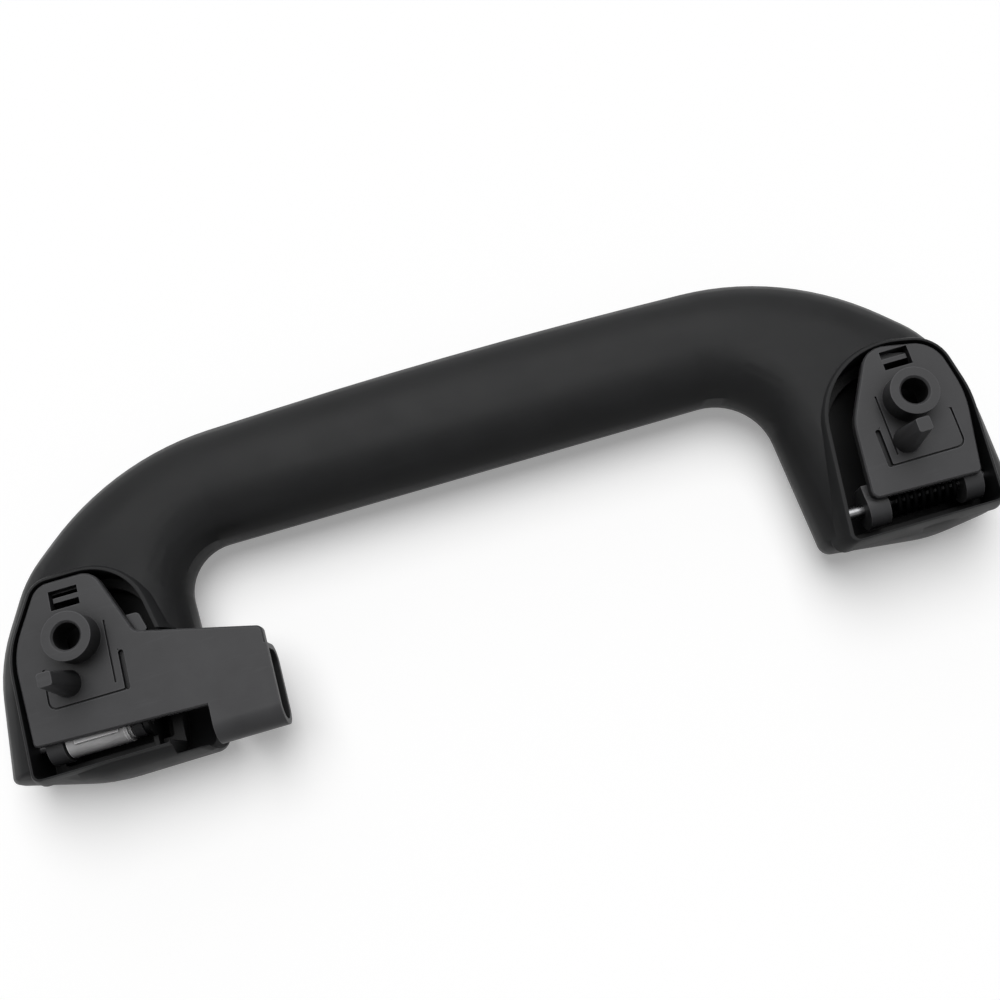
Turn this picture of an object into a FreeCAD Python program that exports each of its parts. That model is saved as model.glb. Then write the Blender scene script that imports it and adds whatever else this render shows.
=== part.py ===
"""Folding roof grab handle with hinged brackets, damper, return spring and a coat hook stub.

Millimetres. X runs along the hinge line, from the damper end to the spring end.
Y runs from the hinge line towards the grip. Z points at the roof.
The origin is midway between the two screw bosses, on the plane of their top faces.
Each foot is drawn once in a foot frame: u runs inboard from the screw axis, y and z
are those of the whole handle. The other foot is its mirror image.
"""
import FreeCAD, Part
import math
import os
from collections import namedtuple

# Each corner of an outline is (u, y, radius) in the foot frame
Plate = namedtuple("Plate", "heel toe waist brow_in brow_out side")
Pocket = namedtuple("Pocket", "toe low_waist waist brow_in")
Foot = namedtuple("Foot", "armpit toe sole heel hip brow shoulder")

# Fixing to the roof
SCREW_SPACING = 206.0
SCREW_BORE_R = 3.2
BOSS_R = 5.85
BOSS_TALL = 6.0
BORE_CHAMFER = 0.5
PLATE_THICK = 2.5
PLATE_BEVEL = 0.4

# Locating peg
PEG_X = -3.8
PEG_Y = -9.8
PEG_TALL = 12.8
PEG_ROOT = 6.6
PEG_TIP = 3.3
PEG_TIP_R = 0.5

# Latch window and the grooves in the plate's back
WINDOW_U = -1.1
WINDOW_Y = 10.5
WINDOW_WIDE = 7.0
WINDOW_HIGH = 4.7
GROOVE_WIDE = 0.45
GROOVE_DEEP = 0.6
TRAY_OUT = 9.2
TRAY_IN = 9.6
TRAY_TOP = 4.6
TRAY_LOW = 15.0
TRAY_CORNER_R = 2.2
SLOT_WIDE = 1.3
SLOT_LONG = 9.6
SLOT_DEEP = 1.2
CURB_U = 6.9
CURB_TOP = 2.6
CURB_LOW = 12.6

# Coat hook stub on the left bracket
STUB_END = 43.3
STUB_LIP = 0.3
STUB_START = 27.0
STUB_TOP_END = 9.1
STUB_CORNER_R = 1.6
STUB_NEAR = 13.3
STUB_FAR = 32.8
STUB_TALL = 9.4
STUB_WALL = 1.3
STUB_BACK_R = 5.0
STUB_FRONT_R = 4.2

# Bracket plates. The left toe lies under the coat hook stub
LEFT_PLATE = Plate(
    heel=(-14.3, -22.2, 1.2),
    toe=(STUB_END - STUB_LIP, -24.2, 0.6),
    waist=(13.6, -1.9, 2.5),
    brow_in=(6.5, 15.3, 5.0),
    brow_out=(-7.4, 15.3, 5.0),
    side=(-15.4, 0.6, 20.0),
)
RIGHT_PLATE = Plate(
    heel=(-10.3, -22.0, 1.2),
    toe=(16.3, -21.2, 1.8),
    waist=(14.2, -2.1, 14.0),
    brow_in=(5.0, 15.2, 6.0),
    brow_out=(-11.4, 12.0, 8.0),
    side=(-14.0, -2.5, 25.0),
)

# Hinge
HINGE_Y = -22.0
HINGE_DROP = 7.0
PIN_R = 1.5
PIN_SEAT_GAP = 0.03
PIN_RUN_GAP = 0.06
PIN_SEAT_DEEP = 4.0
LUG_R = 4.8
LUG_GAP = 0.4

# Damper, along u from the screw axis
DAMPER_START = -8.2
DAMPER_END = 7.0
DAMPER_R = 4.1
DAMPER_WALL = 0.7
DAMPER_END_WALL = 1.2
DAMPER_CAP_THICK = 1.4
DAMPER_KEY_WIDE = 3.0
DAMPER_KEY_START = -6.0
DAMPER_KEY_END = 4.6
ROTOR_GAP = 0.3
LEFT_OUT_LUG_THICK = 4.0
LEFT_IN_LUG_THICK = 2.4
LEFT_IN_LUG_R = 3.6
BEARING_RIB_THICK = 1.2
BEARING_RIB_R = 4.0
BEARING_RIB_GAP = 0.5

# Right hinge: open hooks with the return spring between them
SPRING_START = -6.0
SPRING_END = 11.9
HOOK_OUT_THICK = 4.5
HOOK_IN_THICK = 5.1
HOOK_R = 5.0
HOOK_MOUTH = 2.6
SPRING_MEAN_R = 3.5
SPRING_WIRE_R = 0.55
SPRING_TURNS = 8
SPRING_STEPS = 12
WIRE_SIDES = 8
SPRING_LEG_GAP = 0.3
RIGHT_PIN_RECESS = 1.3

# Screw covers on the front of the brackets
COVER_INSET = 1.4
COVER_TALL = 7.0
COVER_WALL = 1.4
COVER_LOW = 15.4
COVER_WAIST = 13.0
COVER_EDGE_R = 1.5
LATCH_WIDE = 6.2
LATCH_THICK = 0.8
LATCH_TALL = 1.3
LATCH_BARB = 0.4
COVER_BEVEL = 1.2
PRY_LIP_WIDE = 4.8
PRY_LIP_LONG = 2.5
PRY_LIP_SLANT = 0.4
PRY_LIP_THICK = 1.2
PRY_LIP_Y = 0.4
PRY_LIP_R = 1.2

# Handle moulding: outline of each foot at mid depth, and of the grip between them
LEFT_FOOT = Foot(
    armpit=(25.6, 15.0, 11.0),
    toe=(27.4, -33.7, 3.6),
    sole=(-1.5, -34.0, 40.0),
    heel=(-23.9, -28.3, 2.2),
    hip=(-22.4, 0.8, 40.0),
    brow=(-12.3, 20.2, 30.0),
    shoulder=(14.6, 43.9, 70.0),
)
RIGHT_FOOT = Foot(
    armpit=(31.9, 15.0, 14.5),
    toe=(29.1, -29.1, 3.2),
    sole=(2.0, -32.3, 34.0),
    heel=(-18.9, -29.6, 9.0),
    hip=(-18.9, 0.3, 45.0),
    brow=(-13.0, 17.0, 25.0),
    shoulder=(14.6, 43.9, 70.0),
)
CROWN_Y = 46.8
CROWN_R = 1400.0
GRIP_BACK_Z = -6.0
GRIP_DEEP = 21.0
GRIP_ROUND = 2.3
GRIP_STATIONS = (-0.99, -0.94, -0.82, -0.65, -0.35, 0.0, 0.35, 0.65, 0.82, 0.94, 0.99)
FOOT_SIDE_SHARE = 0.9
FOOT_LOW_SHARE = 0.4

# Pocket in each foot: outboard it follows the plate, inboard it has corners of its own
LEFT_POCKET = Pocket(
    toe=(16.8, None, 0.6),
    low_waist=(16.8, -9.0, 1.5),
    waist=(19.0, -3.6, 1.5),
    brow_in=(14.4, 15.8, 14.5),
)
RIGHT_POCKET = Pocket(
    toe=(24.0, None, 1.5),
    low_waist=None,
    waist=None,
    brow_in=(17.5, 18.5, 19.5),
)
POCKET_GAP = 0.5
POCKET_WALL_GAP = 0.4
POCKET_HEEL_R = 1.6
POCKET_STEP_DEEP = 12.0
POCKET_STEP = 2.6
FRONT_WALL = 3.4
RIM_ABOVE_PLATE = 0.5
RIM_SECTIONS = ((0.0, 0.8), (0.3, 1.2), (1.5, 2.1), (3.5, 3.1), (6.0, 3.9))
RIM_LOW_SHARE = 0.36
RIM_SIDE_SHARE = 0.6

# Cradle in the left foot, round the hinge axis under the coat hook stub
CRADLE_R = 10.2
CRADLE_END = 23.6
CRADLE_FLARE_R = 12.2
CRADLE_FLARE_END = 26.6
CRADLE_SHOULDER_GAP = 0.6
STUB_SLOT_GAP = 0.5

# Places worked out from the sizes above
PLATE_Z = -BOSS_TALL
PLATE_FRONT_Z = PLATE_Z - PLATE_THICK
HINGE_Z = PLATE_Z - HINGE_DROP
RIM_Z = PLATE_Z + RIM_ABOVE_PLATE
GRIP_MID_Z = GRIP_BACK_Z - GRIP_DEEP / 2
POCKET_FLOOR_Z = GRIP_BACK_Z - GRIP_DEEP + FRONT_WALL
POCKET_STEP_Z = PLATE_Z - POCKET_STEP_DEEP
BEYOND = 20.0
LEAST_R = 0.6


def vec(x, y, z):
    return FreeCAD.Vector(x, y, z)


def rounded_wire(corners, z, inset=0.0, shares=None):
    """Closed outline of lines and tangent arcs at height z.

    corners holds (x, y, radius) anticlockwise, and a radius of 0 leaves a sharp corner.
    Each side moves inwards by the inset times its share, and the corner radii follow,
    so all insets of one outline have the same edges.
    """
    count = len(corners)
    shares = shares or [1.0] * count
    lines = []
    for i in range(count):
        x0, y0, _ = corners[i]
        x1, y1, _ = corners[(i + 1) % count]
        length = math.hypot(x1 - x0, y1 - y0)
        dx, dy = (x1 - x0) / length, (y1 - y0) / length
        shift = inset * shares[i]
        lines.append((x0 - dy * shift, y0 + dx * shift, dx, dy))
    tangents = []
    for i in range(count):
        px, py, pdx, pdy = lines[i - 1]
        qx, qy, qdx, qdy = lines[i]
        cross = pdx * qdy - pdy * qdx
        along = ((qx - px) * qdy - (qy - py) * qdx) / cross
        corner_x, corner_y = px + pdx * along, py + pdy * along
        turn = math.atan2(cross, pdx * qdx + pdy * qdy)
        share = min(shares[i - 1], shares[i])
        radius = corners[i][2] - inset * share * math.copysign(1.0, turn)
        radius = max(radius, LEAST_R) if corners[i][2] else 0.0
        reach = radius * math.tan(abs(turn) / 2)
        start = vec(corner_x - pdx * reach, corner_y - pdy * reach, z)
        end = vec(corner_x + qdx * reach, corner_y + qdy * reach, z)
        side = math.copysign(1.0, turn)
        centre = start + vec(-pdy, pdx, 0) * radius * side
        towards = vec(corner_x, corner_y, z) - centre
        middle = centre + towards * (radius / max(towards.Length, LEAST_R / 10))
        tangents.append((start, middle, end))
    edges = []
    for i in range(count):
        start, middle, end = tangents[i]
        following = tangents[(i + 1) % count][0]
        if corners[i][2]:
            edges.append(Part.Arc(start, middle, end).toShape())
        edges.append(Part.LineSegment(end, following).toShape())
    return Part.Wire(edges)


def prism(corners, z_low, z_high, inset=0.0, shares=None):
    face = Part.Face(rounded_wire(corners, z_low, inset, shares))
    return face.extrude(vec(0, 0, z_high - z_low))


def block(x0, x1, y0, y1, z0, z1):
    return Part.makeBox(x1 - x0, y1 - y0, z1 - z0, vec(x0, y0, z0))


def bar_on_hinge(u0, u1, radius):
    """Round bar along the hinge axis, from u0 to u1."""
    return Part.makeCylinder(radius, u1 - u0, vec(u0, HINGE_Y, HINGE_Z), vec(1, 0, 0))


def edges_at(solid, z):
    """Edges that lie wholly at height z."""
    return [edge for edge in solid.Edges if all(abs(end.Z - z) < 1e-6 for end in edge.Vertexes)]


def to_left(shape):
    return shape.translated(vec(-SCREW_SPACING / 2, 0, 0))


def to_right(shape):
    mirrored = shape.mirror(vec(0, 0, 0), vec(1, 0, 0))
    return mirrored.translated(vec(SCREW_SPACING / 2, 0, 0))


def edge_at_y(first, second, y):
    """u where the line through two corners is at height y."""
    return first[0] + (second[0] - first[0]) * (y - first[1]) / (second[1] - first[1])


def plate_low_y(plate, u):
    """Lower edge of a plate, which runs straight from heel to toe."""
    heel, toe = plate.heel, plate.toe
    return heel[1] + (toe[1] - heel[1]) * (u - heel[0]) / (toe[0] - heel[0])


def plate_corners(plate):
    return [plate.heel, plate.toe, plate.waist, plate.brow_in, plate.brow_out, plate.side]


def stub_plate_corners():
    top_end = (LEFT_PLATE.toe[0], -STUB_TOP_END, STUB_CORNER_R)
    corners = plate_corners(LEFT_PLATE)
    return corners[:2] + [top_end] + corners[2:]


def pocket_low(plate, toe_u):
    """Lower pocket wall, clear of the plate's lower edge as it swings about the hinge."""
    past_hinge = min(0.0, plate.heel[1] - HINGE_Y, plate_low_y(plate, toe_u) - HINGE_Y)
    return HINGE_Y - math.hypot(HINGE_DROP, past_hinge) - POCKET_WALL_GAP


def pocket_corners(plate, pocket):
    low = pocket_low(plate, pocket.toe[0])
    rim_reach = HINGE_Y + HINGE_DROP + RIM_ABOVE_PLATE
    heel_u = edge_at_y(plate.heel, plate.side, rim_reach) - POCKET_GAP
    side_u, side_y, side_r = plate.side
    brow_u, brow_y, brow_r = plate.brow_out
    inboard = [pocket.low_waist, pocket.waist, pocket.brow_in]
    return [
        (heel_u, low, POCKET_HEEL_R),
        (pocket.toe[0], low, pocket.toe[2]),
        *[corner for corner in inboard if corner],
        (brow_u - POCKET_GAP / 2, brow_y + POCKET_GAP, brow_r + POCKET_GAP),
        (side_u - POCKET_GAP, side_y, side_r + POCKET_GAP),
    ]


def plate_blank(corners):
    blank = prism(corners, PLATE_FRONT_Z, PLATE_Z)
    return blank.makeChamfer(PLATE_BEVEL, edges_at(blank, PLATE_Z))


def screw_boss():
    return Part.makeCylinder(BOSS_R, BOSS_TALL + PLATE_THICK, vec(0, 0, PLATE_FRONT_Z))


def screw_bore():
    bore = Part.makeCylinder(SCREW_BORE_R, BOSS_TALL + PLATE_THICK, vec(0, 0, PLATE_FRONT_Z))
    mouth = Part.makeCone(SCREW_BORE_R, SCREW_BORE_R + BORE_CHAMFER, BORE_CHAMFER, vec(0, 0, -BORE_CHAMFER))
    return bore.fuse(mouth)


def square_corners(centre_x, centre_y, side, radius):
    half = side / 2
    return [
        (centre_x - half, centre_y - half, radius),
        (centre_x + half, centre_y - half, radius),
        (centre_x + half, centre_y + half, radius),
        (centre_x - half, centre_y + half, radius),
    ]


def locating_peg(peg_u):
    """Peg that tapers from a nearly round root to a small square tip."""
    root = square_corners(peg_u, PEG_Y, PEG_ROOT, PEG_ROOT * 0.49)
    tip = square_corners(peg_u, PEG_Y, PEG_TIP, PEG_TIP_R)
    wires = [
        rounded_wire(root, PLATE_Z - PLATE_THICK / 2),
        rounded_wire(tip, PLATE_Z + PEG_TALL),
    ]
    return Part.makeLoft(wires, True, True)


def latch_window():
    half_wide, half_high = WINDOW_WIDE / 2, WINDOW_HIGH / 2
    return block(
        WINDOW_U - half_wide, WINDOW_U + half_wide,
        WINDOW_Y - half_high, WINDOW_Y + half_high,
        PLATE_FRONT_Z, PLATE_Z,
    )


def plate_grooves():
    """Grooves that frame the boss and the peg, open towards the latch window."""
    floor = PLATE_Z - GROOVE_DEEP
    tray = [
        (-TRAY_OUT, -TRAY_LOW, TRAY_CORNER_R),
        (TRAY_IN, -TRAY_LOW, LEAST_R),
        (TRAY_IN, -TRAY_TOP, LEAST_R),
        (-TRAY_OUT, -TRAY_TOP, LEAST_R),
    ]
    ring = prism(tray, floor, PLATE_Z).cut(prism(tray, floor, PLATE_Z, GROOVE_WIDE))
    top_gap = block(-BEYOND, BEYOND, -TRAY_TOP - GROOVE_WIDE, 0.0, floor, PLATE_Z)
    side_gap = block(TRAY_IN - GROOVE_WIDE, BEYOND, -BEYOND, 0.0, floor, PLATE_Z)
    tray_groove = ring.cut(top_gap).cut(side_gap)
    slot_top = -TRAY_LOW + SLOT_LONG
    slot = [
        (TRAY_IN - SLOT_WIDE / 2, -TRAY_LOW, SLOT_WIDE * 0.49),
        (TRAY_IN + SLOT_WIDE / 2, -TRAY_LOW, SLOT_WIDE * 0.49),
        (TRAY_IN + SLOT_WIDE / 2, slot_top, SLOT_WIDE * 0.49),
        (TRAY_IN - SLOT_WIDE / 2, slot_top, SLOT_WIDE * 0.49),
    ]
    slot_groove = prism(slot, PLATE_Z - SLOT_DEEP, PLATE_Z)
    curb = block(CURB_U, CURB_U + GROOVE_WIDE, -CURB_LOW, CURB_TOP, floor, PLATE_Z)
    return tray_groove.fuse([slot_groove, curb])


def lug(u0, u1, radius, plate_edge):
    """Ear under the plate that runs on the hinge pin and stays behind the plate's edge."""
    eye = bar_on_hinge(u0, u1, radius)
    neck = block(u0, u1, HINGE_Y - radius, HINGE_Y + radius, HINGE_Z, PLATE_FRONT_Z)
    below_plate_edge = block(u0, u1, -BEYOND * 2, plate_edge, HINGE_Z, PLATE_FRONT_Z)
    rounded_neck = neck.common(bar_on_hinge(u0, u1, math.hypot(radius, PLATE_FRONT_Z - HINGE_Z)))
    return eye.fuse(rounded_neck.cut(below_plate_edge))


def pin_bore(u0, u1):
    return bar_on_hinge(u0, u1, PIN_R + PIN_RUN_GAP)


def bracket_core(blank, peg_u):
    solid = blank.fuse([screw_boss(), locating_peg(peg_u)])
    return solid.cut([screw_bore(), latch_window(), plate_grooves()])


def section_across(corners, u0, u1):
    """Prism along u from an outline drawn in (y, z)."""
    flat = Part.Face(rounded_wire(corners, 0.0))
    turned = flat.copy()
    turned.rotate(vec(0, 0, 0), vec(1, 1, 1), 120)
    turned.translate(vec(u0, 0, 0))
    return turned.extrude(vec(u1 - u0, 0, 0))


def stub_corners():
    return [
        (-STUB_FAR, PLATE_Z - STUB_TALL, STUB_FRONT_R),
        (-STUB_NEAR, PLATE_Z - STUB_TALL, STUB_FRONT_R),
        (-STUB_NEAR, PLATE_Z, 0.0),
        (-STUB_FAR, PLATE_Z, STUB_BACK_R),
    ]


def hook_stub():
    return section_across(stub_corners(), STUB_START, STUB_END)


def stub_hollow():
    inner = Part.Face(rounded_wire(stub_corners(), 0.0, STUB_WALL))
    inner.rotate(vec(0, 0, 0), vec(1, 1, 1), 120)
    inner.translate(vec(STUB_START + STUB_WALL, 0, 0))
    return inner.extrude(vec(STUB_END - STUB_START, 0, 0))


def left_lug_spans():
    outer = (DAMPER_START - LUG_GAP - LEFT_OUT_LUG_THICK, DAMPER_START - LUG_GAP)
    inner = (DAMPER_END + LUG_GAP, DAMPER_END + LUG_GAP + LEFT_IN_LUG_THICK)
    return outer, inner


def right_hook_spans():
    outer = (SPRING_START - LUG_GAP - HOOK_OUT_THICK, SPRING_START - LUG_GAP)
    inner = (SPRING_END + LUG_GAP, SPRING_END + LUG_GAP + HOOK_IN_THICK)
    return outer, inner


def left_bracket():
    solid = bracket_core(plate_blank(stub_plate_corners()), PEG_X)
    lugs = []
    for (u0, u1), radius in zip(left_lug_spans(), (LUG_R, LEFT_IN_LUG_R)):
        lugs.append(lug(u0, u1, radius, plate_low_y(LEFT_PLATE, u0)))
    bores = [pin_bore(u0, u1) for u0, u1 in left_lug_spans()]
    solid = solid.fuse(lugs + [hook_stub()]).cut(bores + [stub_hollow()])
    return to_left(solid.removeSplitter())


def right_bracket():
    solid = bracket_core(plate_blank(plate_corners(RIGHT_PLATE)), -PEG_X)
    hooks = []
    cuts = []
    half = HOOK_MOUTH / 2
    for u0, u1 in right_hook_spans():
        hooks.append(lug(u0, u1, HOOK_R, plate_low_y(RIGHT_PLATE, u1)))
        cuts.append(pin_bore(u0, u1))
        cuts.append(block(u0, u1, HINGE_Y - half, HINGE_Y + half, HINGE_Z - BEYOND, HINGE_Z))
    return to_right(solid.fuse(hooks).cut(cuts).removeSplitter())


def bearing_rib_span():
    start = left_lug_spans()[1][1] + BEARING_RIB_GAP
    return start, start + BEARING_RIB_THICK


def left_pin_span():
    corners = pocket_corners(LEFT_PLATE, LEFT_POCKET)
    wall = edge_at_y(corners[0], corners[-1], HINGE_Y)
    return wall - PIN_SEAT_DEEP, bearing_rib_span()[1]


def left_hinge_pin():
    return to_left(bar_on_hinge(*left_pin_span(), PIN_R))


def right_pin_span():
    outer = edge_at_y(RIGHT_FOOT.heel, RIGHT_FOOT.hip, HINGE_Y) + RIGHT_PIN_RECESS
    wall = edge_at_y(*pocket_corners(RIGHT_PLATE, RIGHT_POCKET)[1:3], HINGE_Y)
    return outer, wall + PIN_SEAT_DEEP


def right_hinge_pin():
    return to_right(bar_on_hinge(*right_pin_span(), PIN_R))


def damper_barrel():
    end = DAMPER_END - DAMPER_CAP_THICK
    shell = bar_on_hinge(DAMPER_START, end, DAMPER_R)
    half = DAMPER_KEY_WIDE / 2
    key = block(
        DAMPER_KEY_START, DAMPER_KEY_END,
        HINGE_Y - half, HINGE_Y + half,
        HINGE_Z + DAMPER_R / 2, PLATE_FRONT_Z,
    )
    chamber = bar_on_hinge(DAMPER_START + DAMPER_END_WALL, end, DAMPER_R - DAMPER_WALL)
    return to_left(shell.fuse(key).cut([chamber, pin_bore(DAMPER_START, end)]).removeSplitter())


def damper_cap():
    """End cap of the damper, stepped down to a smaller collar."""
    start = DAMPER_END - DAMPER_CAP_THICK
    disc = bar_on_hinge(start, start + DAMPER_CAP_THICK / 2, DAMPER_R)
    collar = bar_on_hinge(start, DAMPER_END, DAMPER_R - DAMPER_WALL)
    return to_left(disc.fuse(collar).cut(pin_bore(start, DAMPER_END)).removeSplitter())


def damper_rotor():
    start = DAMPER_START + DAMPER_END_WALL + ROTOR_GAP
    end = DAMPER_END - DAMPER_CAP_THICK - ROTOR_GAP
    drum = bar_on_hinge(start, end, DAMPER_R - DAMPER_WALL - ROTOR_GAP)
    return to_left(drum.cut(bar_on_hinge(start, end, PIN_R + PIN_SEAT_GAP)))


def wire_section(centre, outwards, along):
    """Eight-sided section of the spring wire, square to its run."""
    across = along.cross(outwards)
    points = []
    for side in range(WIRE_SIDES + 1):
        angle = 2 * math.pi * side / WIRE_SIDES
        offset = outwards * math.cos(angle) + across * math.sin(angle)
        points.append(centre + offset * SPRING_WIRE_R)
    return Part.makePolygon(points)


def return_spring():
    """Torsion spring: coils round the pin, one leg to the pocket floor and one to the plate."""
    first = SPRING_START + 2 * SPRING_WIRE_R
    last = SPRING_END - 2 * SPRING_WIRE_R
    beside = HINGE_Y + SPRING_MEAN_R
    floor_end = vec(first, beside, POCKET_FLOOR_Z + SPRING_LEG_GAP)
    plate_end = vec(last, beside, PLATE_FRONT_Z - SPRING_LEG_GAP)
    sections = [wire_section(floor_end, vec(0, 1, 0), vec(0, 0, 1))]
    steps = SPRING_TURNS * SPRING_STEPS
    for step in range(steps + 1):
        angle = 2 * math.pi * step / SPRING_STEPS
        outwards = vec(0, math.cos(angle), math.sin(angle))
        advance = vec(first + (last - first) * step / steps, HINGE_Y, HINGE_Z)
        sections.append(wire_section(advance + outwards * SPRING_MEAN_R, outwards, vec(1, 0, 0).cross(outwards)))
    sections.append(wire_section(plate_end, vec(0, 1, 0), vec(0, 0, 1)))
    return to_right(Part.makeLoft(sections, True, True))


def cover_corners(plate):
    """Outline of a screw cover, which stays inside that of its plate."""
    heel_u = edge_at_y(plate.heel, plate.side, -COVER_LOW) + COVER_INSET
    side_u, side_y, side_r = plate.side
    out_u, out_y, out_r = plate.brow_out
    in_u, in_y, in_r = plate.brow_in
    return [
        (heel_u, -COVER_LOW, COVER_EDGE_R),
        (COVER_WAIST, -COVER_LOW, COVER_EDGE_R),
        (COVER_WAIST - COVER_INSET, plate.waist[1], plate.waist[2]),
        (in_u - COVER_INSET, in_y - COVER_INSET, in_r),
        (out_u + COVER_INSET / 2, out_y - COVER_INSET, out_r),
        (side_u + COVER_INSET, side_y, side_r),
    ]


def latch_and_barb(front):
    half = LATCH_WIDE / 2
    top = PLATE_FRONT_Z + LATCH_TALL
    low, high = WINDOW_U - half, WINDOW_U + half
    latch = block(low, high, WINDOW_Y, WINDOW_Y + LATCH_THICK, front, top)
    barb = block(low, high, WINDOW_Y - LATCH_BARB, WINDOW_Y + LATCH_THICK, top - LATCH_BARB, top)
    return [latch, barb]


def pry_lip():
    """Lip of the left cover, which shows in the pocket beside the plate."""
    inner = COVER_WAIST - COVER_INSET - COVER_WALL
    half = PRY_LIP_WIDE / 2
    corners = [
        (inner, PRY_LIP_Y - half, LEAST_R),
        (LEFT_PLATE.waist[0] + PRY_LIP_LONG, PRY_LIP_Y - half, LEAST_R),
        (LEFT_PLATE.waist[0] + PRY_LIP_LONG * PRY_LIP_SLANT, PRY_LIP_Y + half, PRY_LIP_R),
        (inner, PRY_LIP_Y + half, LEAST_R),
    ]
    return prism(corners, PLATE_FRONT_Z - PRY_LIP_THICK, PLATE_FRONT_Z)


def screw_cover(plate, extras=()):
    """Shell on the front of the plate, with a latch through the window."""
    corners = cover_corners(plate)
    front = PLATE_FRONT_Z - COVER_TALL
    shell = prism(corners, front, PLATE_FRONT_Z)
    shell = shell.makeChamfer(COVER_BEVEL, edges_at(shell, front))
    shell = shell.cut(prism(corners, front + COVER_WALL, PLATE_FRONT_Z, COVER_WALL))
    return shell.fuse(latch_and_barb(front) + list(extras)).removeSplitter()


def foot_outline(foot):
    return [foot.armpit, foot.toe, foot.sole, foot.heel, foot.hip, foot.brow, foot.shoulder]


def handle_corners():
    """Outline of grip and feet at mid depth, in x and y."""
    half = SCREW_SPACING / 2
    right = [(half - u, y, radius) for u, y, radius in foot_outline(RIGHT_FOOT)]
    left = [(u - half, y, radius) for u, y, radius in reversed(foot_outline(LEFT_FOOT))]
    return right + [(0.0, CROWN_Y, CROWN_R)] + left


def handle_shares():
    """How much each side of the outline draws in as the section rounds off."""
    side, low = FOOT_SIDE_SHARE, FOOT_LOW_SHARE
    right = [side, low, low, side, 1.0, 1.0, 1.0]
    left = [1.0, 1.0, 1.0, side, low, low, side, 1.0]
    return right + left


def station_inset(station):
    """How far the rounded section has drawn in at a height of -1 to 1."""
    fill = (1 - abs(station) ** GRIP_ROUND) ** (1 / GRIP_ROUND)
    wide = CROWN_Y - (LEFT_FOOT.armpit[1] + RIGHT_FOOT.armpit[1]) / 2
    return wide / 2 * (1 - fill)


def handle_bar():
    """Grip and both feet as one rounded bar, lofted through insets of its outline."""
    wires = []
    for station in GRIP_STATIONS:
        height = GRIP_MID_Z + station * GRIP_DEEP / 2
        wires.append(rounded_wire(handle_corners(), height, station_inset(station), handle_shares()))
    return Part.makeLoft(wires, True, True)


def pocket_rim(corners):
    """Collar that carries the raised lip round the pocket."""
    inboard = [1.0] * (len(corners) - 4)
    shares = [RIM_LOW_SHARE] + inboard + [RIM_SIDE_SHARE] * 3
    wires = []
    for drop, growth in RIM_SECTIONS:
        wires.append(rounded_wire(corners, RIM_Z - drop, -growth, shares))
    return Part.makeLoft(wires, True, True)


def pocket_hollow(corners):
    upper = prism(corners, POCKET_STEP_Z, RIM_Z + BEYOND)
    lower = prism(corners, POCKET_FLOOR_Z, POCKET_STEP_Z, POCKET_STEP)
    return upper.fuse(lower)


def bearing_rib():
    """Rib in the left pocket that carries the inner end of the hinge pin."""
    u0, u1 = bearing_rib_span()
    eye = bar_on_hinge(u0, u1, BEARING_RIB_R)
    post = block(u0, u1, HINGE_Y - BEARING_RIB_R, HINGE_Y + BEARING_RIB_R, POCKET_FLOOR_Z - 1, HINGE_Z)
    open_edge_z = HINGE_Z + plate_low_y(LEFT_PLATE, u1) - HINGE_Y - BEARING_RIB_GAP
    low = pocket_low(LEFT_PLATE, u1) - 1
    web = block(u0, u1, low, HINGE_Y, POCKET_FLOOR_Z - 1, open_edge_z)
    return eye.fuse([post, web])


def stub_cradle():
    """Bowl in the left foot that the plate's edge and the coat hook stub swing through."""
    start = LEFT_POCKET.toe[0]
    bowl = bar_on_hinge(start, CRADLE_END, CRADLE_R)
    flare = Part.makeCone(
        CRADLE_R, CRADLE_FLARE_R, CRADLE_FLARE_END - CRADLE_END,
        vec(CRADLE_END, HINGE_Y, HINGE_Z), vec(1, 0, 0),
    )
    outside = bar_on_hinge(CRADLE_FLARE_END, CRADLE_FLARE_END + BEYOND, CRADLE_FLARE_R)
    side = -STUB_NEAR + CRADLE_SHOULDER_GAP
    bowl_back = block(start, CRADLE_FLARE_END, HINGE_Y - CRADLE_R, side, HINGE_Z, BEYOND)
    end_back = block(CRADLE_FLARE_END, STUB_END, -BEYOND * 3, side, HINGE_Z, BEYOND)
    waist_u, waist_y, _ = LEFT_PLATE.waist
    slot_corners = [
        (waist_u, side, LEAST_R),
        (STUB_END, side, LEAST_R),
        (STUB_END, -STUB_TOP_END + STUB_SLOT_GAP, LEAST_R),
        (waist_u, waist_y + STUB_SLOT_GAP, LEAST_R),
    ]
    plate_slot = prism(slot_corners, PLATE_FRONT_Z - STUB_SLOT_GAP, BEYOND)
    return bowl.fuse([flare, outside, bowl_back, end_back, plate_slot])


def handle_body():
    left_pocket = pocket_corners(LEFT_PLATE, LEFT_POCKET)
    right_pocket = pocket_corners(RIGHT_PLATE, RIGHT_POCKET)
    solid = handle_bar().fuse([to_left(pocket_rim(left_pocket)), to_right(pocket_rim(right_pocket))])
    solid = solid.cut([to_left(pocket_hollow(left_pocket)), to_right(pocket_hollow(right_pocket))])
    solid = solid.fuse(to_left(bearing_rib()))
    seat_r = PIN_R + PIN_SEAT_GAP
    left_seat = bar_on_hinge(*left_pin_span(), seat_r)
    right_seat = bar_on_hinge(-BEYOND * 2, right_pin_span()[1], seat_r)
    solid = solid.cut([to_left(stub_cradle()), to_left(left_seat), to_right(right_seat)])
    return solid.removeSplitter()


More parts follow.
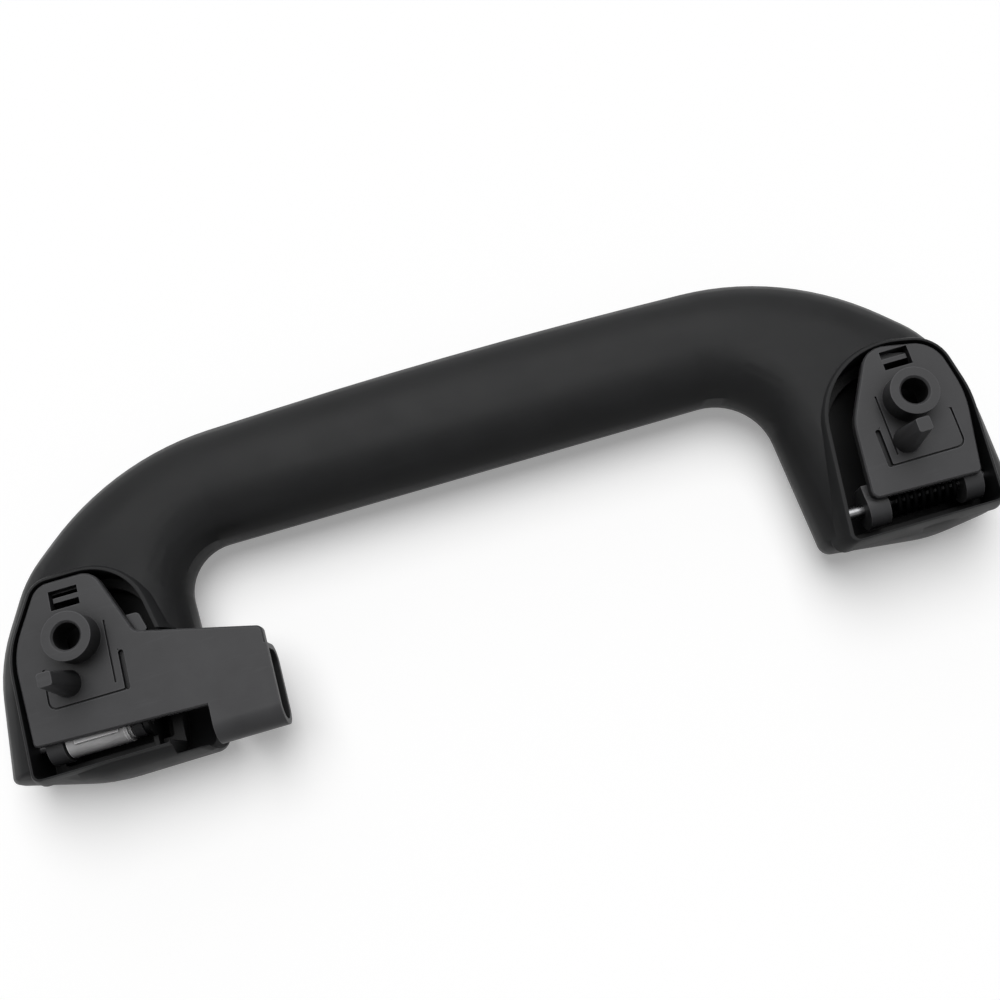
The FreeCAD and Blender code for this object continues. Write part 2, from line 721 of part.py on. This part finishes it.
def all_parts():
    return {
        "handle_body": handle_body(),
        "left_bracket": left_bracket(),
        "right_bracket": right_bracket(),
        "left_screw_cover": to_left(screw_cover(LEFT_PLATE, [pry_lip()])),
        "right_screw_cover": to_right(screw_cover(RIGHT_PLATE)),
        "left_hinge_pin": left_hinge_pin(),
        "right_hinge_pin": right_hinge_pin(),
        "damper_barrel": damper_barrel(),
        "damper_cap": damper_cap(),
        "damper_rotor": damper_rotor(),
        "return_spring": return_spring(),
    }


def main():
    os.makedirs("parts", exist_ok=True)
    for name, shape in all_parts().items():
        shape.exportStep(os.path.join("parts", name + ".step"))


main()
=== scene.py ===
import math

import bmesh
import bpy
from bpy.props import FloatProperty, FloatVectorProperty, IntProperty, PointerProperty
from mathutils import Matrix, Vector


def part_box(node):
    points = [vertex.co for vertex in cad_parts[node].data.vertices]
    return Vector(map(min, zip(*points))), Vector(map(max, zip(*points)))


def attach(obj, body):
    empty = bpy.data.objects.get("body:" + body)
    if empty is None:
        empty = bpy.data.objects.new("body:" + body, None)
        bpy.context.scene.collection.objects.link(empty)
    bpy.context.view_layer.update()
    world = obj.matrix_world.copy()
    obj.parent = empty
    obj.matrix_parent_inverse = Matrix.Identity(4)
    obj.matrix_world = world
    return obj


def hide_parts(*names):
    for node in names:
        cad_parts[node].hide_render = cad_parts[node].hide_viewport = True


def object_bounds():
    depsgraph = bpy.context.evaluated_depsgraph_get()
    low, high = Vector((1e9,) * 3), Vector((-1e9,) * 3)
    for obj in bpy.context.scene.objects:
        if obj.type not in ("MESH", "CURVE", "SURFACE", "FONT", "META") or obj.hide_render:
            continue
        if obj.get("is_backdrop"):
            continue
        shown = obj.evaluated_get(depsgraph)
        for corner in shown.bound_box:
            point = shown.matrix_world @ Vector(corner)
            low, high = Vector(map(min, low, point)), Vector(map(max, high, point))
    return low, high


bl_info = {
    "name": "Roof Grab Handle",
    "version": (1, 0, 0),
    "blender": (4, 5, 0),
    "location": "View3D > Sidebar > Grab Handle",
    "description": "Finishes the solids of a folding roof grab handle and lights it for a picture",
    "category": "Object",
}

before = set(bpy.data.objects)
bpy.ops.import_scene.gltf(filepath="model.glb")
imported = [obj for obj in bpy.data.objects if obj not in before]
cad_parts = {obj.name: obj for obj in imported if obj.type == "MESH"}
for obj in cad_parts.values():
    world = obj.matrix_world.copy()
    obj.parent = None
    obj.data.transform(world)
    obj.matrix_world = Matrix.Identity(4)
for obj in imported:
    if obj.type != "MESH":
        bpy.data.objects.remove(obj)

MM = 0.001

# Finishes, painted highlights and painted shade, in millimetres, degrees and shares of the colour.
# A span is the part of a texture's or mask's range that the finish follows.
CLOUD_SIZE = 11.0
CLOUD_DEPTH = 0.16
STREAK_SIZE = 1.6
STREAK_TURN = 35.0
STREAK_STRETCH = (0.12, 1, 1)
STREAK_SPAN = (0.6, 0.75)
STREAK_MATT = 0.4
# Paler edges, partly wear and partly a painted highlight on rounded edges: extra share of the colour, reach
# in millimetres and span of the mask
WEAR_AND_HIGHLIGHT_EDGE = 1.4
WEAR_AND_HIGHLIGHT_REACH = 0.45
WEAR_AND_HIGHLIGHT_SPAN = (0.8, 0.99)
SOFT_EDGE = 0.3
# Painted shade in pockets: reach of the occlusion in millimetres, darkest share of the colour and span of
# the mask
POCKET_SHADE_REACH = 16.0
POCKET_SHADE_TONE = 0.12
POCKET_SHADE_SPAN = (0.35, 0.9)
PLASTIC_GLOSS_RANGE = 0.05
DRAW_LINE_SIZE = 0.12
DRAW_LINE_STRETCH = (0.03, 1, 1)
DRAW_LINE_DEPTH = 0.004
DRAW_LINE_TONES = (0.85, 1.1)
DULL_PATCH_SIZE = 1.5
STEEL_GLOSS_RANGE = 0.08
# Painted shade on the steel over the return spring's length: darkest share of the colour and fade in
# millimetres
SPRING_SHADE_TONE = 0.1
SPRING_SHADE_FADE = 1.0
SHADE_SAMPLES = 6

# Corners nearer than this in millimetres are one, and edges over this angle in degrees stay sharp
WELD_REACH = 0.002
SHARP_ANGLE = 26.0

# Camera of the photographed view, in millimetres, degrees and shares of the picture
CAMERA_PLACE = (-4.58, -59.67, 249.02)
CAMERA_AIM = (2.155, 5.454, -16.5)
CAMERA_ROLL = 10.4
CAMERA_LENS = 39.6
CAMERA_SENSOR = 36.0
CAMERA_SHIFT_Y = 0.004
CAMERA_NEAR = 10.0

# Directions that the lights come from
KEY_TOWARDS = (0.03, 0.34, 0.75)
BACK_TOWARDS = (0.0, 0.85, 0.3)

# Share of white that the floor shows of itself, on top of the light it gets
FLOOR_GLOW = 0.28

# Half the floor's side in metres, its corners in turn and its gap under the handle in millimetres
FLOOR_REACH = 80.0
FLOOR_CORNERS = ((-1, -1), (1, -1), (1, 1), (-1, 1))
FLOOR_GAP = 0.1
FLOOR_ROUGHNESS = 0.9

# How finely the spring wire is divided
TURN_STEPS = 40
LEG_STEPS = 6
WIRE_SIDES = 14


# Finishes


def varied(nodes, links, source, low, high, start=0.3, stop=0.7):
    """Map a source's range from start to stop onto the values from low to high."""
    spread = nodes.new("ShaderNodeMapRange")
    spread.inputs["From Min"].default_value = start
    spread.inputs["From Max"].default_value = stop
    spread.inputs["To Min"].default_value = low
    spread.inputs["To Max"].default_value = high
    links.new(source, spread.inputs["Value"])
    return spread.outputs["Result"]


def flatness(nodes, reach):
    """1 on flats and smooth curves, and less within the reach of an edge, in millimetres."""
    links = nodes.id_data.links
    rounded = nodes.new("ShaderNodeBevel")
    rounded.inputs["Radius"].default_value = reach * MM
    geometry = nodes.new("ShaderNodeNewGeometry")
    agree = nodes.new("ShaderNodeVectorMath")
    agree.operation = "DOT_PRODUCT"
    links.new(rounded.outputs["Normal"], agree.inputs[0])
    links.new(geometry.outputs["Normal"], agree.inputs[1])
    return agree.outputs["Value"]


def added(nodes, links, first, second):
    total = nodes.new("ShaderNodeMath")
    total.operation = "ADD"
    links.new(first, total.inputs[0])
    links.new(second, total.inputs[1])
    return total.outputs["Value"]


def multiplied(nodes, links, first, second):
    product = nodes.new("ShaderNodeMath")
    product.operation = "MULTIPLY"
    links.new(first, product.inputs[0])
    links.new(second, product.inputs[1])
    return product.outputs["Value"]


def noise(nodes, links, place, size, detail=3.0, stretch=(1, 1, 1), turn=0.0):
    """Noise with features of the given size in millimetres, stretched and turned about Z."""
    mapping = nodes.new("ShaderNodeMapping")
    mapping.inputs["Scale"].default_value = stretch
    mapping.inputs["Rotation"].default_value = (0, 0, math.radians(turn))
    texture = nodes.new("ShaderNodeTexNoise")
    texture.inputs["Scale"].default_value = 1 / (size * MM)
    texture.inputs["Detail"].default_value = detail
    links.new(place.outputs["Object"], mapping.inputs["Vector"])
    links.new(mapping.outputs["Vector"], texture.inputs["Vector"])
    return texture.outputs["Fac"]


def open_share(nodes, reach):
    """How open a moulding is within the reach in millimetres, from 0 deep in a pocket to 1 outside."""
    shade = nodes.new("ShaderNodeAmbientOcclusion")
    shade.samples = SHADE_SAMPLES
    shade.only_local = True
    shade.inputs["Distance"].default_value = reach * MM
    return shade.outputs["AO"]


def tinted(nodes, links, colour, brightness):
    tint = nodes.new("ShaderNodeVectorMath")
    tint.operation = "SCALE"
    tint.inputs[0].default_value = colour
    links.new(brightness, tint.inputs["Scale"])
    return tint.outputs["Vector"]


def moulded_plastic(name, colour, roughness, sheen, grain_size, grain_depth, scuffs=0.2):
    """Moulded plastic: fine grain, cloudy tone, paler edges that are partly wear and partly a painted
    highlight, rubbed streaks, painted shade in pockets and soft edges.
    """
    material = bpy.data.materials.new(name)
    material.use_nodes = True
    nodes, links = material.node_tree.nodes, material.node_tree.links
    shader = nodes["Principled BSDF"]
    shader.inputs["Specular IOR Level"].default_value = sheen
    place = nodes.new("ShaderNodeTexCoord")
    cloud = noise(nodes, links, place, CLOUD_SIZE, detail=4.0)
    grain = noise(nodes, links, place, grain_size)
    streaks = noise(nodes, links, place, STREAK_SIZE, detail=5.0, stretch=STREAK_STRETCH, turn=STREAK_TURN)
    tone = varied(nodes, links, cloud, 1 - CLOUD_DEPTH, 1 + CLOUD_DEPTH)
    # Paler edges: partly wear, partly a painted highlight
    edges = varied(nodes, links, flatness(nodes, WEAR_AND_HIGHLIGHT_REACH), WEAR_AND_HIGHLIGHT_EDGE, 0.0, *WEAR_AND_HIGHLIGHT_SPAN)
    rubbed = varied(nodes, links, streaks, 0.0, scuffs, *STREAK_SPAN)
    tone_wear_and_highlight = added(nodes, links, added(nodes, links, tone, edges), rubbed)
    # Painted shade: the colour darkens deep in pockets, where the moulding is closed in
    pocket_shade = varied(nodes, links, open_share(nodes, POCKET_SHADE_REACH), POCKET_SHADE_TONE, 1.0, *POCKET_SHADE_SPAN)
    brightness = multiplied(nodes, links, tone_wear_and_highlight, pocket_shade)
    links.new(tinted(nodes, links, colour, brightness), shader.inputs["Base Color"])
    gloss = varied(nodes, links, cloud, roughness - PLASTIC_GLOSS_RANGE, roughness + PLASTIC_GLOSS_RANGE)
    matt = varied(nodes, links, streaks, 0.0, scuffs * STREAK_MATT, *STREAK_SPAN)
    links.new(added(nodes, links, gloss, matt), shader.inputs["Roughness"])
    soft_edge = nodes.new("ShaderNodeBevel")
    soft_edge.inputs["Radius"].default_value = SOFT_EDGE * MM
    bump = nodes.new("ShaderNodeBump")
    bump.inputs["Distance"].default_value = grain_depth * MM
    links.new(grain, bump.inputs["Height"])
    links.new(soft_edge.outputs["Normal"], bump.inputs["Normal"])
    links.new(bump.outputs["Normal"], shader.inputs["Normal"])
    return material


def spring_shade(nodes, links, place):
    """Painted shade: tone along X that falls to dark over the length of the return spring, on the steel
    inside and of its coils.
    """
    low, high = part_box("return_spring")
    split = nodes.new("ShaderNodeSeparateXYZ")
    links.new(place.outputs["Object"], split.inputs["Vector"])
    away = nodes.new("ShaderNodeMath")
    away.operation = "SUBTRACT"
    away.inputs[1].default_value = (low.x + high.x) / 2
    links.new(split.outputs["X"], away.inputs[0])
    distance = nodes.new("ShaderNodeMath")
    distance.operation = "ABSOLUTE"
    links.new(away.outputs["Value"], distance.inputs[0])
    half = (high.x - low.x) / 2
    return varied(nodes, links, distance.outputs["Value"], SPRING_SHADE_TONE, 1.0, half, half + SPRING_SHADE_FADE * MM)


def drawn_steel(name, colour, roughness):
    """Steel wire with fine draw lines along X, a few duller patches and painted shade over the length of the
    spring.
    """
    material = bpy.data.materials.new(name)
    material.use_nodes = True
    nodes, links = material.node_tree.nodes, material.node_tree.links
    shader = nodes["Principled BSDF"]
    shader.inputs["Metallic"].default_value = 1.0
    place = nodes.new("ShaderNodeTexCoord")
    lines = noise(nodes, links, place, DRAW_LINE_SIZE, detail=2.0, stretch=DRAW_LINE_STRETCH)
    patches = noise(nodes, links, place, DULL_PATCH_SIZE)
    tone = varied(nodes, links, lines, *DRAW_LINE_TONES)
    # Painted shade over the spring's length, on the pin inside the coils and on the spring wire
    brightness = multiplied(nodes, links, tone, spring_shade(nodes, links, place))
    links.new(tinted(nodes, links, colour, brightness), shader.inputs["Base Color"])
    gloss = varied(nodes, links, patches, roughness - STEEL_GLOSS_RANGE, roughness + STEEL_GLOSS_RANGE)
    links.new(gloss, shader.inputs["Roughness"])
    bump = nodes.new("ShaderNodeBump")
    bump.inputs["Distance"].default_value = DRAW_LINE_DEPTH * MM
    links.new(lines, bump.inputs["Height"])
    links.new(bump.outputs["Normal"], shader.inputs["Normal"])
    return material


def soft_facets():
    """Geometry group that welds the facets' shared corners and keeps only sharp edges sharp."""
    group = bpy.data.node_groups.get("soft_facets")
    if group:
        return group
    group = bpy.data.node_groups.new("soft_facets", "GeometryNodeTree")
    group.interface.new_socket("Geometry", in_out="INPUT", socket_type="NodeSocketGeometry")
    group.interface.new_socket("Geometry", in_out="OUTPUT", socket_type="NodeSocketGeometry")
    nodes, links = group.nodes, group.links
    arrive = nodes.new("NodeGroupInput")
    leave = nodes.new("NodeGroupOutput")
    weld = nodes.new("GeometryNodeMergeByDistance")
    weld.inputs["Distance"].default_value = WELD_REACH * MM
    angle = nodes.new("GeometryNodeInputMeshEdgeAngle")
    sharp = nodes.new("FunctionNodeCompare")
    sharp.data_type = "FLOAT"
    sharp.operation = "GREATER_THAN"
    sharp.inputs["B"].default_value = math.radians(SHARP_ANGLE)
    normals = nodes.new("GeometryNodeSetMeshNormal")
    normals.mode = "SHARPNESS"
    normals.inputs["Remove Custom"].default_value = True
    normals.inputs["Face Sharpness"].default_value = False
    links.new(arrive.outputs[0], weld.inputs["Geometry"])
    links.new(weld.outputs["Geometry"], normals.inputs["Mesh"])
    links.new(angle.outputs["Unsigned Angle"], sharp.inputs["A"])
    links.new(sharp.outputs["Result"], normals.inputs["Edge Sharpness"])
    links.new(normals.outputs["Mesh"], leave.inputs[0])
    return group


def dress(node, material):
    """Give a solid its finish, with smooth curves, flat flats and sharp edges."""
    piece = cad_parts[node]
    piece.data.materials.clear()
    piece.data.materials.append(material)
    piece.modifiers.new("soft_facets", "NODES").node_group = soft_facets()
    flats = piece.modifiers.new("flats", "WEIGHTED_NORMAL")
    flats.keep_sharp = True


# Sizes and colours a user may change


class GripSettings(bpy.types.PropertyGroup):
    colour: FloatVectorProperty(
        name="Grip Colour", description="Plastic of the grip and its two feet",
        subtype="COLOR", size=3, min=0, max=1, default=(0.0088, 0.009, 0.0095))
    roughness: FloatProperty(
        name="Grip Roughness", description="How matt the grip is",
        subtype="FACTOR", min=0.1, max=1, default=0.45)
    grain: FloatProperty(
        name="Grain Depth", description="Depth of the moulded grain in millimetres", min=0, default=0.01)


class BracketSettings(bpy.types.PropertyGroup):
    colour: FloatVectorProperty(
        name="Bracket Colour", description="Plastic of both hinged brackets",
        subtype="COLOR", size=3, min=0, max=1, default=(0.048, 0.048, 0.05))
    cover_colour: FloatVectorProperty(
        name="Cover Colour", description="Plastic of the screw covers",
        subtype="COLOR", size=3, min=0, max=1, default=(0.048, 0.048, 0.05))


class HingeSettings(bpy.types.PropertyGroup):
    damper_colour: FloatVectorProperty(
        name="Damper Colour", description="Pale plastic of the damper barrel",
        subtype="COLOR", size=3, min=0, max=1, default=(0.55, 0.545, 0.55))
    rotor_colour: FloatVectorProperty(
        name="Rotor Colour", description="Natural white plastic of the drum inside the damper",
        subtype="COLOR", size=3, min=0, max=1, default=(0.6, 0.6, 0.57))
    pin_colour: FloatVectorProperty(
        name="Pin Colour", description="Drawn steel of the hinge pins",
        subtype="COLOR", size=3, min=0, max=1, default=(0.16, 0.16, 0.165))


class SpringSettings(bpy.types.PropertyGroup):
    wire: FloatProperty(
        name="Wire Diameter", description="Thickness of the return spring's wire",
        unit="LENGTH", min=0.0004, max=0.002, default=0.0011)
    turns: IntProperty(
        name="Turns", description="Number of coils between the two legs", min=2, max=12, default=8)
    colour: FloatVectorProperty(
        name="Spring Colour", description="Blackened steel of the return spring",
        subtype="COLOR", size=3, min=0, max=1, default=(0.03, 0.03, 0.032))


class StageSettings(bpy.types.PropertyGroup):
    floor_colour: FloatVectorProperty(
        name="Floor Colour", description="Pale table under the handle",
        subtype="COLOR", size=3, min=0, max=1, default=(0.8, 0.8, 0.8))
    key_light: FloatProperty(
        name="Key Light", description="Strength of the wide soft light above the handle",
        min=0, default=2.65)
    key_spread: FloatProperty(
        name="Key Spread", description="Angle that the soft light fills, which sets how soft the shadow is",
        unit="ROTATION", min=0, max=math.pi, default=math.radians(56))
    back_light: FloatProperty(
        name="Back Light", description="Strength of the low light behind the crown of the grip",
        min=0, default=0.3)
    world_strength: FloatProperty(
        name="Room Light", description="Strength of the even light from all round", min=0, default=0.1)


# Pieces


class GRABHANDLE_OT_grip(bpy.types.Operator):
    """Finish the grip moulding"""
    bl_idname = "grab_handle.grip"
    bl_label = "Grip"

    def execute(self, context):
        settings = context.scene.grab_handle_grip
        plastic = moulded_plastic(
            "grip_plastic", settings.colour, settings.roughness,
            sheen=0.13, grain_size=0.35, grain_depth=settings.grain, scuffs=0.1)
        dress("handle_body", plastic)
        return {"FINISHED"}


class GRABHANDLE_OT_brackets(bpy.types.Operator):
    """Finish both brackets and their screw covers"""
    bl_idname = "grab_handle.brackets"
    bl_label = "Brackets and Covers"

    def execute(self, context):
        settings = context.scene.grab_handle_brackets
        plastic = moulded_plastic(
            "bracket_plastic", settings.colour,
            roughness=0.42, sheen=0.14, grain_size=0.5, grain_depth=0.005)
        cover = moulded_plastic(
            "cover_plastic", settings.cover_colour,
            roughness=0.4, sheen=0.14, grain_size=0.5, grain_depth=0.005)
        for side in ("left", "right"):
            dress(side + "_bracket", plastic)
            dress(side + "_screw_cover", cover)
        return {"FINISHED"}


class GRABHANDLE_OT_hinge(bpy.types.Operator):
    """Finish the hinge pins and the damper"""
    bl_idname = "grab_handle.hinge"
    bl_label = "Hinge Pins and Damper"

    def execute(self, context):
        settings = context.scene.grab_handle_hinge
        steel = drawn_steel("pin_steel", settings.pin_colour, roughness=0.3)
        damper = moulded_plastic(
            "damper_plastic", settings.damper_colour,
            roughness=0.35, sheen=0.5, grain_size=0.8, grain_depth=0.002)
        rotor = moulded_plastic(
            "rotor_plastic", settings.rotor_colour,
            roughness=0.4, sheen=0.5, grain_size=0.8, grain_depth=0.002)
        for side in ("left", "right"):
            dress(side + "_hinge_pin", steel)
        dress("damper_barrel", damper)
        dress("damper_cap", damper)
        dress("damper_rotor", rotor)
        return {"FINISHED"}


def spring_path(turns, wire):
    """Centre line of the torsion spring: a leg, the coils round the hinge pin and the other leg."""
    low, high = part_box("return_spring")
    pin_low, pin_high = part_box("right_hinge_pin")
    axis = (pin_low + pin_high) / 2
    coil_radius = high.y - axis.y - wire / 2
    first, last = high.x - wire / 2, low.x + wire / 2
    beside = axis.y + coil_radius
    points = []
    for step in range(LEG_STEPS):
        points.append(Vector((first, beside, low.z + (axis.z - low.z) * step / LEG_STEPS)))
    steps = turns * TURN_STEPS
    for step in range(steps + 1):
        angle = math.tau * step / TURN_STEPS
        across = first + (last - first) * step / steps
        points.append(Vector((
            across, axis.y + coil_radius * math.cos(angle), axis.z + coil_radius * math.sin(angle))))
    for step in range(1, LEG_STEPS + 1):
        points.append(Vector((last, beside, axis.z + (high.z - axis.z) * step / LEG_STEPS)))
    return points


def round_wire(name, points, diameter):
    """Closed round wire swept along points that never run along X."""
    mesh = bpy.data.meshes.new(name)
    shape = bmesh.new()
    rings = []
    for index, point in enumerate(points):
        before, after = points[max(index - 1, 0)], points[min(index + 1, len(points) - 1)]
        along = (after - before).normalized()
        sideways = along.cross(Vector((1, 0, 0))).normalized()
        upright = sideways.cross(along)
        ring = []
        for side in range(WIRE_SIDES):
            angle = math.tau * side / WIRE_SIDES
            offset = sideways * math.cos(angle) + upright * math.sin(angle)
            ring.append(shape.verts.new(point + offset * (diameter / 2)))
        rings.append(ring)
    for ring, following in zip(rings, rings[1:]):
        for side in range(WIRE_SIDES):
            turn = (side + 1) % WIRE_SIDES
            face = shape.faces.new((ring[side], ring[turn], following[turn], following[side]))
            face.smooth = True
    shape.faces.new(list(reversed(rings[0])))
    shape.faces.new(rings[-1])
    bmesh.ops.recalc_face_normals(shape, faces=shape.faces)
    shape.to_mesh(mesh)
    shape.free()
    wire = bpy.data.objects.new(name, mesh)
    bpy.context.scene.collection.objects.link(wire)
    return wire


class GRABHANDLE_OT_spring(bpy.types.Operator):
    """Coil the return spring round the right hinge pin"""
    bl_idname = "grab_handle.spring"
    bl_label = "Return Spring"

    def execute(self, context):
        settings = context.scene.grab_handle_spring
        spring = round_wire("spring_coils", spring_path(settings.turns, settings.wire), settings.wire)
        spring.data.materials.append(drawn_steel("spring_steel", settings.colour, roughness=0.6))
        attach(spring, "handle")
        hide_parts("return_spring")
        return {"FINISHED"}


# Stage


def look_matrix(place, aim, roll_deg):
    """Matrix of a camera or lamp at a place, turned to an aim and rolled clockwise by roll_deg."""
    forward = (aim - place).normalized()
    turned = forward.to_track_quat("-Z", "Y").to_matrix().to_4x4()
    return Matrix.Translation(place) @ turned @ Matrix.Rotation(math.radians(-roll_deg), 4, "Z")


def seen_straight(nodes, links):
    """1 for what the camera, a reflection or a clear piece sees, and 0 for light that falls on a surface."""
    path = nodes.new("ShaderNodeLightPath")
    looks = path.outputs["Is Camera Ray"]
    for ray in ("Is Glossy Ray", "Is Transmission Ray"):
        either = nodes.new("ShaderNodeMath")
        either.operation = "MAXIMUM"
        links.new(looks, either.inputs[0])
        links.new(path.outputs[ray], either.inputs[1])
        looks = either.outputs["Value"]
    return looks


def pale_floor(colour):
    """Floor that shows white itself and keeps the handle's soft shadow."""
    material = bpy.data.materials.new("pale_floor")
    material.use_nodes = True
    nodes, links = material.node_tree.nodes, material.node_tree.links
    shader = nodes["Principled BSDF"]
    shader.inputs["Base Color"].default_value = (*colour, 1)
    shader.inputs["Roughness"].default_value = FLOOR_ROUGHNESS
    shader.inputs["Specular IOR Level"].default_value = 0.0
    glow = nodes.new("ShaderNodeEmission")
    power = nodes.new("ShaderNodeMath")
    power.operation = "MULTIPLY"
    power.inputs[1].default_value = FLOOR_GLOW
    both = nodes.new("ShaderNodeAddShader")
    links.new(seen_straight(nodes, links), power.inputs[0])
    links.new(power.outputs["Value"], glow.inputs["Strength"])
    links.new(shader.outputs["BSDF"], both.inputs[0])
    links.new(glow.outputs["Emission"], both.inputs[1])
    links.new(both.outputs["Shader"], nodes["Material Output"].inputs["Surface"])
    return material


def even_world(strength):
    """Grey room light that shows as white to the camera and in reflections."""
    world = bpy.data.worlds.new("studio")
    bpy.context.scene.world = world
    world.use_nodes = True
    nodes, links = world.node_tree.nodes, world.node_tree.links
    room = nodes["Background"]
    room.inputs["Color"].default_value = (1, 1, 1, 1)
    room.inputs["Strength"].default_value = strength
    white = nodes.new("ShaderNodeBackground")
    white.inputs["Color"].default_value = (1, 1, 1, 1)
    white.inputs["Strength"].default_value = 1.0
    choose = nodes.new("ShaderNodeMixShader")
    links.new(seen_straight(nodes, links), choose.inputs["Fac"])
    links.new(room.outputs["Background"], choose.inputs[1])
    links.new(white.outputs["Background"], choose.inputs[2])
    links.new(choose.outputs["Shader"], nodes["World Output"].inputs["Surface"])


def soft_sky(name, towards, spread, strength):
    """Soft light from one direction, the same over the whole floor."""
    lamp = bpy.data.lights.new(name, "SUN")
    lamp.angle = spread
    lamp.energy = strength
    holder = bpy.data.objects.new(name, lamp)
    bpy.context.scene.collection.objects.link(holder)
    holder.matrix_world = look_matrix(Vector(towards), Vector((0, 0, 0)), 0)


def photo_camera():
    """Camera at the photographed view."""
    data = bpy.data.cameras.new("camera")
    data.sensor_width = CAMERA_SENSOR
    data.lens = CAMERA_LENS
    data.shift_y = CAMERA_SHIFT_Y
    data.clip_start = CAMERA_NEAR * MM
    camera = bpy.data.objects.new("camera", data)
    bpy.context.scene.collection.objects.link(camera)
    camera.matrix_world = look_matrix(Vector(CAMERA_PLACE) * MM, Vector(CAMERA_AIM) * MM, CAMERA_ROLL)
    bpy.context.scene.camera = camera


def floor_under(colour):
    """Wide floor just under the lowest point of the handle."""
    low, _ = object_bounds()
    top = low.z - FLOOR_GAP * MM
    corners = [(FLOOR_REACH * side, FLOOR_REACH * end, top) for side, end in FLOOR_CORNERS]
    mesh = bpy.data.meshes.new("floor")
    mesh.from_pydata(corners, [], [(0, 1, 2, 3)])
    mesh.materials.append(pale_floor(colour))
    floor = bpy.data.objects.new("floor", mesh)
    bpy.context.scene.collection.objects.link(floor)
    return floor


class GRABHANDLE_OT_stage(bpy.types.Operator):
    """Set up the camera, the pale floor and the soft light"""
    bl_idname = "grab_handle.stage"
    bl_label = "Stage"

    def execute(self, context):
        settings = context.scene.grab_handle_stage
        context.scene.view_settings.view_transform = "Standard"
        photo_camera()
        floor_under(settings.floor_colour)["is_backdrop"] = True
        even_world(settings.world_strength)
        soft_sky("key", KEY_TOWARDS, settings.key_spread, settings.key_light)
        soft_sky("back", BACK_TOWARDS, settings.key_spread, settings.back_light)
        return {"FINISHED"}


class GRABHANDLE_PT_panel(bpy.types.Panel):
    """Lists the pieces and their settings"""
    bl_label = "Grab Handle"
    bl_idname = "GRABHANDLE_PT_panel"
    bl_space_type = "VIEW_3D"
    bl_region_type = "UI"
    bl_category = "Grab Handle"

    def draw(self, context):
        for group, operators in PANEL_ROWS:
            box = self.layout.box()
            settings = getattr(context.scene, group)
            for name in settings.__annotations__:
                box.prop(settings, name)
            for operator in operators:
                box.operator(operator)


PANEL_ROWS = (
    ("grab_handle_grip", ("grab_handle.grip",)),
    ("grab_handle_brackets", ("grab_handle.brackets",)),
    ("grab_handle_hinge", ("grab_handle.hinge",)),
    ("grab_handle_spring", ("grab_handle.spring",)),
    ("grab_handle_stage", ("grab_handle.stage",)),
)
SETTINGS = {
    "grab_handle_grip": GripSettings,
    "grab_handle_brackets": BracketSettings,
    "grab_handle_hinge": HingeSettings,
    "grab_handle_spring": SpringSettings,
    "grab_handle_stage": StageSettings,
}
CLASSES = (
    GripSettings,
    BracketSettings,
    HingeSettings,
    SpringSettings,
    StageSettings,
    GRABHANDLE_OT_grip,
    GRABHANDLE_OT_brackets,
    GRABHANDLE_OT_hinge,
    GRABHANDLE_OT_spring,
    GRABHANDLE_OT_stage,
    GRABHANDLE_PT_panel,
)


def register():
    for cls in CLASSES:
        bpy.utils.register_class(cls)
    for name, group in SETTINGS.items():
        setattr(bpy.types.Scene, name, PointerProperty(type=group))


def unregister():
    for name in SETTINGS:
        delattr(bpy.types.Scene, name)
    for cls in reversed(CLASSES):
        bpy.utils.unregister_class(cls)


def main():
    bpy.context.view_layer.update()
    register()
    bpy.ops.grab_handle.grip()
    bpy.ops.grab_handle.brackets()
    bpy.ops.grab_handle.hinge()
    bpy.ops.grab_handle.spring()
    bpy.ops.grab_handle.stage()


if __name__ == "__main__":
    main()
